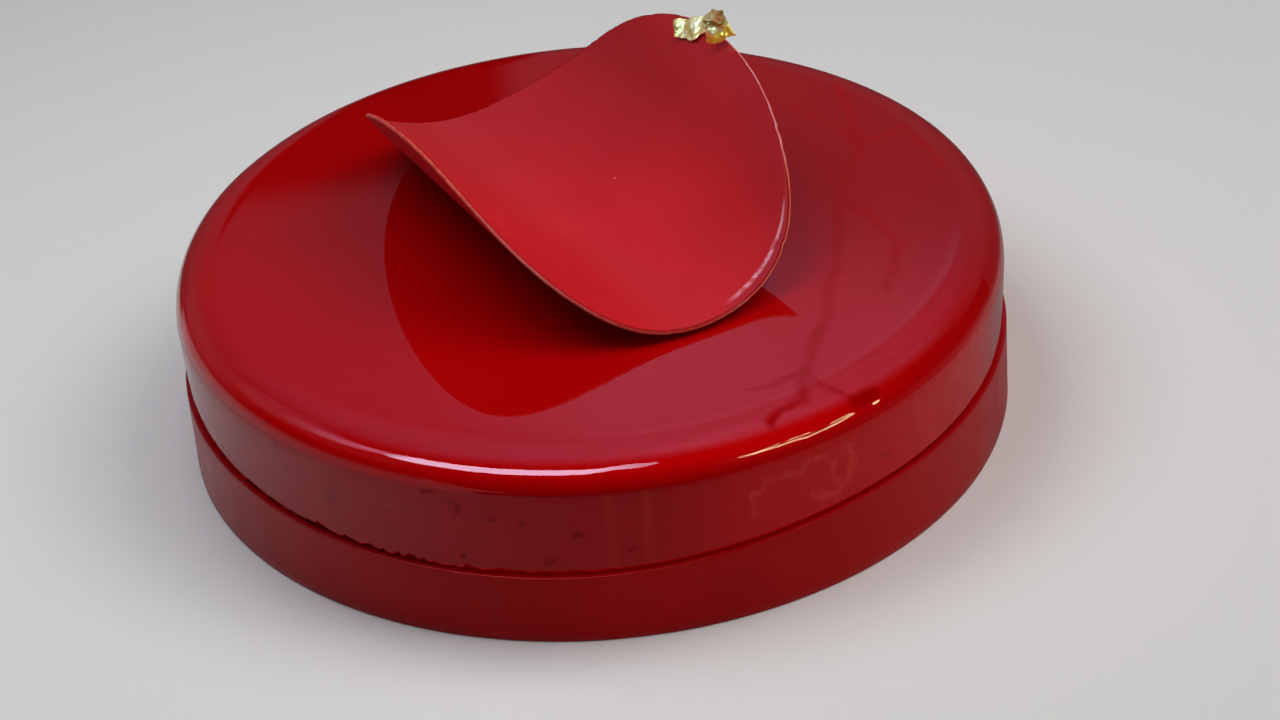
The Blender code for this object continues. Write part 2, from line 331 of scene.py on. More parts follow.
# Soft glows that mirrors see: azimuth, elevation, outer and inner reach in degrees, light
GLOWS_ABOVE = ((2.0, 35.0, 25.0, 8.0, 0.30), (-30.0, 65.0, 23.0, 8.0, 0.35))
GLOWS_LEFT = (
    (-160.0, 20.0, 22.0, 8.0, 0.16), (150.0, 22.0, 34.0, 8.0, 0.10), (170.0, 30.0, 20.0, 3.0, 0.40),
    (-178.0, 32.0, 12.0, 2.0, 0.60), (-169.0, 32.0, 10.0, 2.0, 1.30), (-163.0, 33.0, 8.0, 1.0, 1.90),
    (-157.0, 36.0, 6.0, 1.0, 3.20),
)

# Behind the cake mirrors see a low glow, placed by shares of the way back and up, and a lit part of a wall
# with a dark one beside it, by azimuths and elevations
LOW_GLOW = 0.14
LOW_GLOW_BACK = (0.15, 0.55)
LOW_GLOW_TOP = (0.34, 0.60)
LOW_GLOW_GROWTH = (0.0, 0.36, 0.55, 1.0)
WALL_LIGHT = 0.28
LIT_WALL = ((74.0, 82.0, 89.0, 94.5), (29.8, 33.0, 48.0, 58.0))
DARK_WALL_SPAN = (90.6, 91.8, 97.0, 101.0)
DARK_WALL_TOP = (28.9, 29.9)
DARK_WALL_SHADE = 0.05

# Blue that mirrors see in that light, low down and from an elevation up, and how patchy it is
LOW_TONE = (1.0, 1.0, 1.2)
HIGH_TONE = (1.0, 1.0, 1.6)
TONE_CHANGE = (28.0, 34.0)
PATCHES = (0.92, 1.08)
PATCH_SIZE = 1 / 9

# The backdrop and the faint light all round
BACKDROP = (0.63, 0.63, 0.63)
FAINT_LIGHT = (0.015, 0.015, 0.016)

# Soft lights that mirrors don't see: azimuth, elevation, distance, size, light and colour
PANELS = {
    "soft_left": (180.0, 70.0, 0.42, 0.30, 0.49, (1.0, 1.03, 1.07)),
    "soft_right": (0.0, 60.0, 1.5, 0.9, 0.35, (1.0, 0.97, 0.94)),
    "right_fill": (0.0, 35.0, 1.5, 0.9, 0.12, (1.0, 0.95, 0.90)),
    "warm_side": (-30.0, 12.0, 1.5, 0.9, 0.17, (1.0, 0.85, 0.72)),
}

# The floor, and how it darkens in mirrors: two distances from the middle, with its tone at each
FLOOR_REACH = 4.0
FLOOR_TONE = 0.92
FLOOR_ON_LEFT = (0.30, 0.75, 0.90, 0.22)
FLOOR_ON_RIGHT = (0.165, 0.20, 0.40, 0.11)
FLOOR_LEFT_TO_RIGHT = (-0.15, 0.0)


# Nodes: the helpers work in the tree of the first socket that they are given

def set_sockets(item, **sockets):
    """Gives a node's sockets, named or as i and a number, their values, or links them to another socket."""
    for key, value in sockets.items():
        name = key.replace("_", " ")
        socket = item.inputs[int(key[1:])] if key[0] == "i" and key[1:].isdigit() else item.inputs[name]
        if isinstance(value, bpy.types.NodeSocket):
            item.id_data.links.new(value, socket)
        elif isinstance(value, tuple) and socket.type == "RGBA":
            socket.default_value = (*value, 1.0)
        else:
            socket.default_value = value


def add_node(home, kind, settings=None, **sockets):
    """A node in the tree of home, a tree or a socket, with its settings and its sockets' values."""
    item = home.id_data.nodes.new(kind)
    for key, value in (settings or {}).items():
        setattr(item, key, value)
    set_sockets(item, **sockets)
    return item


def new_material(name):
    """A material with its node tree and its shader."""
    material = bpy.data.materials.new(name)
    material.use_nodes = True
    tree = material.node_tree
    return material, tree, tree.nodes["Principled BSDF"]


def attribute(tree, name):
    return add_node(tree, "ShaderNodeAttribute", {"attribute_name": name}).outputs["Fac"]


def place(tree):
    """The point's place on the object, in metres."""
    return add_node(tree, "ShaderNodeTexCoord").outputs["Object"]


def noise_at(where, size, detail=3.0):
    """A noise whose patches are about size across."""
    item = add_node(where, "ShaderNodeTexNoise", Vector=where, Scale=1.0 / size, Detail=detail, Roughness=0.5)
    return item.outputs["Fac"]


def ramp(value, low, high, to_low=0.0, to_high=1.0):
    """A soft change from to_low to to_high as the value goes from low to high."""
    item = add_node(
        value, "ShaderNodeMapRange", {"interpolation_type": "SMOOTHSTEP"},
        Value=value, From_Min=low, From_Max=high, To_Min=to_low, To_Max=to_high,
    )
    return item.outputs["Result"]


def uneven(where, size, to_low, to_high, detail=3.0, span=(0.3, 0.7)):
    """A value from to_low to to_high that changes softly from place to place."""
    return ramp(noise_at(where, size, detail), *span, to_low, to_high)


def maths(operation, a, b=0.0):
    return add_node(a, "ShaderNodeMath", {"operation": operation}, i0=a, i1=b).outputs["Value"]


def combined(operation, values):
    result = values[0]
    for value in values[1:]:
        result = maths(operation, result, value)
    return result


def product(*values):
    return combined("MULTIPLY", values)


def in_span(value, span):
    """1 between the middle two of four values, falling to 0 at the outer two."""
    return product(ramp(value, *span[:2]), ramp(value, *span[2:], 1.0, 0.0))


def vector_maths(operation, vector, **sockets):
    """The outputs of a vector operation."""
    return add_node(vector, "ShaderNodeVectorMath", {"operation": operation}, i0=vector, **sockets).outputs


def dot(vector, other):
    return vector_maths("DOT_PRODUCT", vector, i1=other)["Value"]


def distance_to(vector, other):
    gap = vector_maths("SUBTRACT", vector, i1=other)["Vector"]
    return vector_maths("LENGTH", gap)["Value"]


def blend(share, a, b):
    """From colour a at share 0 to colour b at share 1."""
    return add_node(share, "ShaderNodeMix", {"data_type": "RGBA"}, i0=share, i6=a, i7=b).outputs[2]


def bump(height, strength, distance):
    item = add_node(height, "ShaderNodeBump", Strength=strength, Distance=distance, Height=height)
    return item.outputs["Normal"]


def axes_of(where):
    return tuple(add_node(where, "ShaderNodeSeparateXYZ", Vector=where).outputs)


def azimuth_of(x, y):
    """The azimuth in degrees, -180 to 180."""
    return maths("MULTIPLY", maths("ARCTAN2", y, x), math.degrees(1.0))


def dots(where, size, share, radius):
    """Scattered soft dots: about one cell in 1/share holds one, radius in cells."""
    cells = add_node(where, "ShaderNodeTexVoronoi", {"feature": "F1"}, Vector=where, Scale=1.0 / size)
    rare = ramp(axes_of(cells.outputs["Color"])[0], 0.98 - share, 1.02 - share)
    spot = ramp(cells.outputs["Distance"], radius * 0.4, radius, 1.0, 0.0)
    return product(rare, spot)


def route_distance(spot, route):
    """How far a point is from a route, both in millimetres over the glaze's side."""
    nearest = 1000.0
    for a, b in zip(route, route[1:]):
        run = Vector((*b, 0.0)) - Vector((*a, 0.0))
        gap = vector_maths("SUBTRACT", spot, i1=(*a, 0.0))["Vector"]
        share = dot(gap, tuple(run / run.length_squared))
        share = add_node(spot, "ShaderNodeClamp", Value=share).outputs["Result"]
        along = add_node(spot, "ShaderNodeVectorMath", {"operation": "SCALE"}, i0=tuple(run), i3=share)
        nearest = maths("MINIMUM", distance_to(gap, along.outputs["Vector"]), nearest)
    return nearest


# Materials

def over_side(azimuth, z):
    """A place on the glaze's side, in millimetres round it and up it."""
    return azimuth * SIDE_MM_PER_DEGREE, z


def above_rim(azimuth, z):
    """A point's height over the band's upper rim."""
    left = ramp(azimuth, RIM_DIP_AZIMUTH - RIM_DIP_REACHES[0], RIM_DIP_AZIMUTH, RIM_DIP, 0.0)
    right = ramp(azimuth, RIM_DIP_AZIMUTH, RIM_DIP_AZIMUTH + RIM_DIP_REACHES[1], 0.0, RIM_DIP)
    rise = maths("ADD", left, right)
    return maths("SUBTRACT", z, maths("ADD", rise, BAND_HEIGHT - RIM_DIP))


def groove_light(share, azimuth, strength):
    """Painted light: the faint glow of the groove over the band, fainter on the left and round the back."""
    on_left = ramp(azimuth, *GROOVE_CHANGE, GROOVE_FAINT, 1.0)
    at_back = ramp(azimuth, *BACK_CHANGE, 1.0, GROOVE_FAINT)
    return product(share, on_left, at_back, strength)


def side_marks(where, azimuth, z):
    """Shares of the dark smudges and of the pale marks on the glaze's side."""
    u = maths("ADD", product(azimuth, SIDE_MM_PER_DEGREE), uneven(where, 0.0022, -0.9, 0.9))
    v = maths("ADD", product(z, 1.0 / MM), uneven(where, 0.0030, -0.8, 0.8))
    spot = add_node(u, "ShaderNodeCombineXYZ", X=u, Y=v).outputs["Vector"]
    smudges = 0.0
    for mark_azimuth, mark_z, size in SMUDGES:
        gap = distance_to(spot, (*over_side(mark_azimuth, mark_z), 0.0))
        smudges = maths("MAXIMUM", ramp(gap, size * 0.5, size * 1.3, 1.0, 0.0), smudges)
    patchy = uneven(where, 0.0015, 0.0, 1.0, 2.0, (0.38, 0.54))
    cloudy = uneven(where, 0.0035, 0.25, 1.0, 4.0, (0.36, 0.6))
    clouds = uneven(where, 0.0050, 0.0, 0.45, 4.0, (0.45, 0.65))
    outline = route_distance(spot, [over_side(*p) for p in PALE_OUTLINE])
    smear = route_distance(spot, [over_side(*p) for p in PALE_SMEAR])
    pale = (
        product(ramp(outline, 0.2, 1.5, 0.9, 0.0), cloudy),
        product(ramp(smear, 0.6, 2.6, 0.9, 0.0), patchy),
        product(in_span(azimuth, CLOUDY_SPAN), clouds),
    )
    return product(smudges, patchy), combined("MAXIMUM", pale)


def glaze_top_colour(where, azimuth):
    """Painted light to the front and along the rounded edge, painted shade at the back and on the far right.
    """
    x, y, z = axes_of(where)
    # painted light and shade: the top's red is lighter to the front and darker at the back
    forward = ramp(dot(where, GLAZE_FORWARD), *BACK_TO_FRONT)
    cloud = uneven(where, 0.05, -0.15, 0.15, 2.0)
    colour = blend(maths("ADD", forward, cloud), *GLAZE_REDS)
    # painted light: a lighter red glows along the rounded edge in front
    glow = product(
        in_span(z, EDGE_GLOW_HEIGHTS), in_span(azimuth, EDGE_GLOW_SPAN),
        ramp(azimuth, *EDGE_GLOW_GROWTH, 0.6, 1.0),
    )
    colour = blend(glow, colour, GLAZE_EDGE_LIGHT_RED)
    # painted shade: the far right of the top is darker
    far_right_shade = product(*[ramp(value, *span) for value, span in zip((x, y, z), FAR_RIGHT)])
    return blend(far_right_shade, colour, GLAZE_FAR_RIGHT_SHADE_RED)


def glaze_material():
    """Deep red mirror glaze, with darker veins on the right of the top and small flaws on the side."""
    material, tree, shader = new_material("red_mirror_glaze")
    where = place(tree)
    x, y, z = axes_of(where)
    azimuth = azimuth_of(x, y)
    colour = glaze_top_colour(where, azimuth)

    distance = maths("ADD", attribute(tree, "vein"), uneven(where, 0.006, -0.3, 0.3, 2.0))
    vein = ramp(distance, 0.0, VEIN_FADE, 1.0, 0.0)
    colour = blend(vein, colour, VEIN_RED)

    over_rim = above_rim(azimuth, z)
    on_side = product(ramp(over_rim, *SIDE_FOOT), ramp(z, *SIDE_TOP, 1.0, 0.0))
    # painted shade: the side is darker in front and on the right
    for span, red in ((SIDE_FRONT, SIDE_FRONT_SHADE_RED), (SIDE_RIGHT, SIDE_RIGHT_SHADE_RED)):
        colour = blend(product(on_side, in_span(azimuth, span)), colour, red)

    smudges, pale = side_marks(where, azimuth, z)
    colour = blend(product(pale, on_side, PALE_SHARE), colour, PALE_RED)
    pitted = ramp(in_span(azimuth, PITTED_SPAN), 0.0, 1.0, *PIT_SHARES)
    pits = product(dots(where, 0.0042, 0.24, 0.26), pitted)
    flaws = product(maths("MAXIMUM", pits, product(smudges, SMUDGE_SHARE)), on_side)
    colour = blend(flaws, colour, FLAW_RED)

    # painted light: the lip over the band's rim is a lighter red and glows faintly, where the groove is in
    # shade
    near_lip = in_span(over_rim, LIP_OVER_RIM)
    colour = blend(product(near_lip, LIP_SHARE), colour, LIP_LIGHT_RED)
    streaks = combined("MAXIMUM", [in_span(azimuth, span) for span in STREAKS])
    colour = blend(product(streaks, on_side, STREAK_SHARE), colour, STREAK_RED)

    ripple = product(noise_at(where, 0.007, 2.0), on_side)
    upright = vector_maths("MULTIPLY", where, i1=(1.0, 1.0, 0.15))["Vector"]
    on_left = ramp(azimuth, *RUNS_CHANGE, 1.0, RUNS_FAINT)
    on_left = maths("MAXIMUM", on_left, ramp(azimuth, *BACK_CHANGE))
    runs = product(noise_at(upright, 0.008), on_side, on_left, 2.0)
    set_sockets(
        shader, IOR=1.5, Base_Color=colour,
        Roughness=blend(vein, (GLAZE_ROUGHNESS,) * 3, (VEIN_ROUGHNESS,) * 3),
        Specular_Tint=blend(flaws, blend(vein, GLAZE_TINT, VEIN_TINT), FLAW_TINT),
        Emission_Color=GROOVE_GLOW, Emission_Strength=groove_light(near_lip, azimuth, LIP_GLOW),
        Normal=bump(maths("ADD", ripple, runs), 0.25, 0.0003),
    )
    return material


def band_material():
    """Satin dark chocolate, its upper rim stained by the glaze; the stain is lightened and glows as painted
    light.
    """
    material, tree, shader = new_material("red_chocolate_band")
    where = place(tree)
    x, y, z = axes_of(where)
    azimuth = azimuth_of(x, y)
    colour = blend(uneven(where, 0.03, 0.0, 1.0, 4.0, (0.3, 0.75)), *BAND_REDS)
    # the glaze's stain on the rim, lightened and glowing faintly as painted light
    rim = ramp(above_rim(azimuth, z), *RIM_STAIN)
    set_sockets(
        shader, IOR=1.5, Specular_Tint=BAND_TINT,
        Base_Color=blend(product(rim, STAIN_SHARE), colour, BAND_RIM_STAIN_AND_LIGHT_RED),
        Roughness=uneven(where, 0.008, 0.28, 0.38, 4.0, (0.3, 0.8)),
        Emission_Color=GROOVE_GLOW, Emission_Strength=groove_light(rim, azimuth, STAIN_GLOW),
        Normal=bump(noise_at(where, 0.004, 4.0), 0.10, 0.0003),
    )
    return material


def disc_material():
    """Satin bright red chocolate with pale specks, with painted shade and a painted pink gleam where its edge
    rolls.
    """
    material, tree, shader = new_material("red_chocolate_disc")
    where = place(tree)
    colour = blend(uneven(where, 0.022, 0.0, 1.0, 4.0, (0.3, 0.75)), *DISC_REDS)
    # painted shade: the disc is darker towards the back
    at_back = ramp(dot(where, DISC_BACKWARD), *DISC_BACK, 0.0, 0.8)
    colour = blend(at_back, colour, DISC_BACK_SHADE_RED)
    colour = blend(product(dots(where, 0.0085, 0.08, 0.06), 0.7), colour, SPECK_PINK)
    # painted shade: the disc is darker on its right, near the gold leaf
    on_right = ramp(dot(where, DISC_RIGHTWARD), *DISC_RIGHT, 0.0, 0.5)
    colour = blend(on_right, colour, DISC_RIGHT_SHADE_RED)

    inside = attribute(tree, "inside")
    # painted shade on the outer part of the edge roll
    outer = product(ramp(inside, *ROLL_SHADE, 0.9, 0.0), attribute(tree, "rolled"))
    colour = blend(outer, colour, DISC_ROLL_SHADE_RED)
    # painted highlight: a patchy pink gleam along the edge roll
    patchy = uneven(where, 0.003, 0.25, 0.9, 3.0, (0.40, 0.52))
    gleam = product(in_span(inside, GLEAM_PLACE), attribute(tree, "gleam"), patchy)
    set_sockets(
        shader, IOR=1.5, Specular_Tint=DISC_TINT,
        Base_Color=blend(gleam, colour, GLEAM_PINK),
        Roughness=uneven(where, 0.010, 0.30, 0.38, 4.0, (0.3, 0.8)),
        Normal=bump(noise_at(where, 0.0012), 0.025, 0.0002),
    )
    return material


def disc_underside_material():
    """The disc's underside, a deeper and duller red."""
    material, tree, shader = new_material("chocolate_underside")
    cloud = uneven(place(tree), 0.015, 0.0, 1.0, 4.0, (0.3, 0.75))
    set_sockets(
        shader, IOR=1.5, Specular_IOR_Level=0.3, Specular_Tint=UNDERSIDE_TINT, Roughness=0.45,
        Base_Color=blend(cloud, *UNDERSIDE_REDS),
    )
    return material


def cut_edge_material():
    """The cut edge: a thin orange red line below, and a painted pale pink highlight all over it on the upper
    right.
    """
    material, tree, shader = new_material("cut_chocolate_edge")
    where = place(tree)
    rolled = attribute(tree, "rolled")
    grain = noise_at(where, 0.0015)
    patchy_wear_and_highlight = uneven(where, 0.004, 0.4, 1.0, 3.0, (0.35, 0.6))
    colour = blend(ramp(grain, 0.3, 0.7), *CUT_REDS)
    colour = blend(product(rolled, patchy_wear_and_highlight), colour, CUT_ROLLED_ORANGE)
    # painted highlight: the cut edge is pale pink on the upper right, patchy like the orange wear
    on_right = ramp(axes_of(where)[0], *CUT_RIGHT)
    on_right = product(on_right, ramp(rolled, 0.0, 1.0, 1.0, 0.0))
    colour = blend(product(on_right, patchy_wear_and_highlight), colour, CUT_RIGHT_HIGHLIGHT_PINK)
    below = ramp(attribute(tree, "level"), *CUT_LOWER, 1.0, 0.0)
    set_sockets(
        shader, Specular_IOR_Level=0.12, Roughness=0.5,
        Base_Color=blend(maths("MAXIMUM", below, on_right), CUT_UPPER_RED, colour),
        Normal=bump(grain, 0.3, 0.0002),
    )
    return material


def gold_material():
    """Bright gold with fine creases, with painted shade at the strip's start and at the top of its loop."""
    material, tree, shader = new_material("gold_leaf")
    where = place(tree)
    grain = noise_at(where, 0.0025)
    along = attribute(tree, "along")
    across = attribute(tree, "across")
    in_loop = ramp(along, *LOOP_START)
    # painted shade: darker olive gold at the strip's start and at the top of its loop
    shade_at_start = product(ramp(along, *LEAF_START, 0.7, 0.0), ramp(grain, 0.4, 0.55))
    colour = blend(ramp(grain, 0.35, 0.7), *LEAF_GOLDS)
    colour = blend(shade_at_start, colour, LEAF_START_SHADE_GOLD)
    colour = blend(product(in_loop, ramp(across, *LOOP_TOP)), colour, LOOP_TOP_SHADE_GOLD)
    at_foot = product(in_loop, ramp(across, *LOOP_FOOT, 1.0, 0.0))
    set_sockets(
        shader, Metallic=0.35,
        Base_Color=blend(at_foot, colour, LOOP_FOOT_GOLD),
        Roughness=ramp(grain, 0.3, 0.8, 0.32, 0.44),
        Normal=bump(noise_at(where, 0.0007, 4.0), 0.25, 0.0002),
    )
    return material


# Shapes

def add_object(name, data):
    item = bpy.data.objects.new(name, data)
    bpy.context.scene.collection.objects.link(item)
    return item


def new_piece(name, points, faces, materials):
    """A smooth mesh whose faces all look outwards."""
    mesh = bpy.data.meshes.new(name)
    mesh.from_pydata([tuple(p) for p in points], [], faces)
    work = bmesh.new()
    work.from_mesh(mesh)
    bmesh.ops.recalc_face_normals(work, faces=work.faces)
    work.to_mesh(mesh)
    work.free()
    mesh.shade_smooth()
    for material in materials:
        mesh.materials.append(material)
    return add_object(name, mesh)


def add_marks(piece, marks):
    """Gives each point of a piece the values that its material reads."""
    for name, values in marks.items():
        piece.data.attributes.new(name, "FLOAT", "POINT").data.foreach_set("value", values)


def step_up(value, low, high):
    """0 up to low and 1 from high, with a soft rise between them."""
    t = min(max((value - low) / (high - low), 0.0), 1.0)
    return t * t * (3 - 2 * t)


def arc(centre, reach, start, end, steps):
    """Points (r, z) on an arc from start to end, in degrees."""
    points = []
    for i in range(steps + 1):
        angle = math.radians(start + (end - start) * i / steps)
        points.append((centre[0] + reach * math.cos(angle), centre[1] + reach * math.sin(angle)))
    return points


def turned(profile_at, segments, ring):
    """Points and faces of a profile turned about Z, closed as a ring or by a flat foot and top."""
    points = []
    faces = []
    for i in range(segments):
        angle = 2 * math.pi * i / segments
        profile = profile_at(angle)
        count = len(profile)
        for r, z in profile:
            points.append((r * math.cos(angle), r * math.sin(angle), z))
    for i in range(segments):
        here = i * count
        there = (i + 1) % segments * count
        for k in range(count if ring else count - 1):
            up = (k + 1) % count
            faces.append((here + k, there + k, there + up, here + up))
    if not ring:
        low = len(points)
        points.append((0.0, 0.0, profile[0][1]))
        points.append((0.0, 0.0, profile[-1][1]))
        for i in range(segments):
            here = i * count
            there = (i + 1) % segments * count
            faces.append((there, here, low))
            faces.append((here + count - 1, there + count - 1, low + 1))
    return points, faces


def around(angle, size, shift):
    """A smooth value that repeats round the cake, about -1 to 1."""
    return noise.noise(Vector((math.cos(angle) / size, math.sin(angle) / size, shift)))


def rim_height(angle):
    """The height of the band's upper rim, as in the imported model."""
    turn = (math.degrees(angle) - RIM_DIP_AZIMUTH + 180.0) % 360.0 - 180.0
    reach = RIM_DIP_REACHES[0 if turn < 0 else 1]
    return BAND_HEIGHT - RIM_DIP * (1 - step_up(abs(turn), 0.0, reach))


def soft_edge(centre, reach):
    """Points (r, z) from the side to the flat top, along a curve that starts and ends softly."""
    points = []
    for i in range(GLAZE_EDGE_STEPS + 1):
        angle = math.pi / 2 * i / GLAZE_EDGE_STEPS
        across = math.cos(angle) ** (2 / GLAZE_EDGE_POWER) if i < GLAZE_EDGE_STEPS else 0.0
        up = math.sin(angle) ** (2 / GLAZE_EDGE_POWER)
        points.append((centre[0] + reach * across, centre[1] + GLAZE_EDGE_DROP * up))
    return points


def glaze_profile(angle):
    """Foot, ragged lip, faintly uneven side, soft edge and flat top at one angle."""
    foot = min(BAND_RADIUS - BAND_THICKNESS - GLAZE_GAP, GLAZE_RADIUS - NECK_DEPTH)
    sag = LIP_SAG * (1 + around(angle, 0.25, 3.0))
    front_left = max(0.0, math.cos(angle - math.radians(LIP_RAGGED_AZIMUTH))) ** 10
    ragged = LIP_RAGGED * front_left * (around(angle, 0.02, 9.0) + 0.5 * around(angle, 0.008, 17.0))
    rim = rim_height(angle)
    lip_z = rim + LIP_CLEARANCE + GLAZE_LIP_RADIUS + sag + max(-LIP_CLEARANCE, ragged)
    slim = SIDE_SLIM * (1 + around(angle, 0.3, 5.0))
    lip = (GLAZE_RADIUS - GLAZE_LIP_RADIUS - slim, lip_z)
    reach = GLAZE_EDGE_REACH + EDGE_SHIFT * around(angle, 0.35, 7.0)
    edge = (GLAZE_SHOULDER_RADIUS - reach - slim, CAKE_HEIGHT - GLAZE_EDGE_DROP)
    profile = [(foot, 0.0), (foot, rim), (foot, lip_z - GLAZE_LIP_RADIUS)]
    profile += arc(lip, GLAZE_LIP_RADIUS, -90.0, 0.0, GLAZE_LIP_STEPS)
    for k in range(1, GLAZE_SIDE_ROWS):
        share = k / GLAZE_SIDE_ROWS
        z = lip[1] + (edge[1] - lip[1]) * share
        swell = SIDE_SWELL * math.sin(math.pi * share) * around(angle, 0.12, 20.0 + 2.0 * share)
        r = GLAZE_RADIUS + (GLAZE_SHOULDER_RADIUS - GLAZE_RADIUS) * share
        profile.append((r - slim - abs(swell), z))
    profile += soft_edge(edge, reach)
    profile += [(edge[0] * (1 - k / GLAZE_TOP_RINGS), CAKE_HEIGHT) for k in range(1, GLAZE_TOP_RINGS)]
    return profile


def vein_distance(points):
    """How far each point of the top is from the nearest vein, in that vein's widths."""
    spots = []
    for p in points:
        spot = Vector((p[0], p[1], 0.0)) / MM
        near = spot / VEIN_WANDER_SIZE
        shift = Vector((noise.noise(near), noise.noise(near + Vector((5.0, 3.0, 1.0)))))
        spots.append((spot.x + shift.x * VEIN_WANDER, spot.y + shift.y * VEIN_WANDER))
    spots = np.array(spots)
    nearest = np.full(len(spots), VEIN_REACH)
    for width, route in VEINS:
        for a, b in zip(route, route[1:]):
            start = np.array(a, float)
            run = np.array(b, float) - start
            share = np.clip((spots - start) @ run / (run @ run), 0.0, 1.0)
            gap = np.linalg.norm(spots - start - share[:, None] * run, axis=1)
            nearest = np.minimum(nearest, gap / width)
    return nearest


def glazed_cake(material):
    points, faces = turned(glaze_profile, GLAZE_SEGMENTS, ring=False)
    piece = new_piece("mirror_glazed_cake", points, faces, [material])
    distance = vein_distance(points)
    distance[[p[2] < CAKE_HEIGHT - GLAZE_EDGE_DROP / 2 for p in points]] = VEIN_REACH
    add_marks(piece, {"vein": distance})
    return piece


def band_profile(angle):
    """The ring of chocolate, a little uneven at its upper rim."""
    bevel, foot = BAND_BEVEL
    outer = BAND_RADIUS - BAND_UNEVEN * (1 + around(angle, 0.2, 11.0))
    inner = BAND_RADIUS - BAND_THICKNESS
    top = rim_height(angle) - BAND_ROUNDING - RIM_UNEVEN * (1 + around(angle, 0.05, 13.0))
    bulge = BAND_BULGE * around(angle, 0.1, 15.0)
    profile = [(outer - bevel, 0.0), (outer, foot)]
    for k in range(1, BAND_ROWS):
        share = k / BAND_ROWS
        profile.append((outer - abs(bulge) * math.sin(math.pi * share), foot + (top - foot) * share))
    profile += arc((outer - BAND_ROUNDING, top), BAND_ROUNDING, 0.0, 90.0, BAND_RIM_STEPS)
    profile += arc((inner + BAND_ROUNDING, top), BAND_ROUNDING, 90.0, 180.0, BAND_RIM_STEPS)
    profile += [(inner, 0.0)]
    return profile


def chocolate_band(material):
    points, faces = turned(band_profile, BAND_SEGMENTS, ring=True)
    return new_piece("chocolate_collar", points, faces, [material])


def smooth_value(values, share):
    """A smooth curve through equally spaced values, read at share, 0 to 1."""
    place_on = min(max(share, 0.0), 1.0) * (len(values) - 1)
    k = min(int(place_on), len(values) - 2)
    t = place_on - k
    before = values[k - 1] if k else 2 * values[0] - values[1]
    after = values[k + 2] if k + 2 < len(values) else 2 * values[-1] - values[-2]
    a = (values[k + 1] - before) / 2
    b = (after - values[k]) / 2
    step = values[k + 1] - values[k]
    return values[k] + t * (a + t * (3 * step - 2 * a - b + t * (a + b - 2 * step)))


def disc_profile():
    """The bend seen along its straight lines: distance along, height and slope at equal steps."""
    step = 2 * DISC_REACH / PROFILE_STEPS
    rows = []
    along = 0.0
    height = 0.0
    for i in range(PROFILE_STEPS + 1):
        slope = math.radians(smooth_value(DISC_SLOPES, i / PROFILE_STEPS))
        if i:
            middle = (slope + rows[-1][2]) / 2
            along += step * math.cos(middle)
            height += step * math.sin(middle)
        rows.append((along, height, slope))
    middle_row = rows[PROFILE_STEPS // 2]
    return [(r[0] - middle_row[0], r[1] - middle_row[1], r[2]) for r in rows]


PROFILE = disc_profile()


def disc_middle(s, w, lift=0.0):
    """The disc's middle surface at flat coordinates s along the bend and w across it, each -1 to 1."""
    place_on = (s + 1) / 2 * PROFILE_STEPS
    k = min(max(int(place_on), 0), PROFILE_STEPS - 1)
    t = place_on - k
    along, height, slope = [a + (b - a) * t for a, b in zip(PROFILE[k], PROFILE[k + 1])]
    off = (DISC_TWIST[0] + DISC_TWIST[1] * s + DISC_TWIST[2] * s * s) * w * DISC_RADIUS
    slide = (DISC_FAN[0] * s + DISC_FAN[1] * s * s) * w * DISC_RADIUS
    across = w * DISC_RADIUS
    along += slide * math.cos(slope) - off * math.sin(slope)
    height += slide * math.sin(slope) + off * math.cos(slope)
    turn = math.radians(DISC_BEND_HEADING)
    x = DISC_CENTRE[0] + along * math.cos(turn) - across * math.sin(turn)
    y = DISC_CENTRE[1] + along * math.sin(turn) + across * math.cos(turn)
    return Vector((x, y, height + lift))


def disc_normal(s, w):
    """The direction off the disc's upper face."""
    nudge = 0.01
    a = disc_middle(s + nudge, w) - disc_middle(s - nudge, w)
    b = disc_middle(s, w + nudge) - disc_middle(s, w - nudge)
    return a.cross(b).normalized()


def disc_lift():
    """How far the middle surface is raised so that the underside touches the glaze."""
    lowest = 1.0
    for k in range(DISC_SEGMENTS):
        angle = 2 * math.pi * k / DISC_SEGMENTS
        for share in (1.0, 0.8, 0.6, 0.4, 0.2, 0.0):
            s = share * math.cos(angle)
            w = share * math.sin(angle)
            lowest = min(lowest, (disc_middle(s, w) - disc_normal(s, w) * DISC_THICKNESS / 2).z)
    return CAKE_HEIGHT + DISC_REST - lowest


LIFT = disc_lift()


def in_turn(turn, span):
    """1 between the middle two of four angles, falling to 0 at the outer two."""
    return step_up(turn, *span[:2]) * (1 - step_up(turn, *span[2:]))


def disc_rings():
    """The disc's rings of points, from its face over the edge to its underside, and how many are on the face.

    Each is a share of the radius and a level, 1 on the face and -1 on the underside.
    """
    shares = [(ring / DISC_RINGS) ** DISC_RING_POWER for ring in range(1, DISC_RINGS)]
    roll_start = 1 - ROLL_WIDTHS[0] / DISC_RADIUS
    rings = [(share, 1.0) for share in shares if share < roll_start]
    rings += [(roll_start + (1 - roll_start) * k / ROLL_ROWS, 1.0) for k in range(ROLL_ROWS)]
    upper = len(rings)
    for step in range(CUT_STEPS + 1):
        angle = math.pi * (0.5 - step / CUT_STEPS)
        rings.append((1.0 - CUT_ROUNDING * (1 - math.cos(angle)) / DISC_RADIUS, math.sin(angle)))
    rings += [(share, -1.0) for share in reversed(shares)]
    return rings, upper


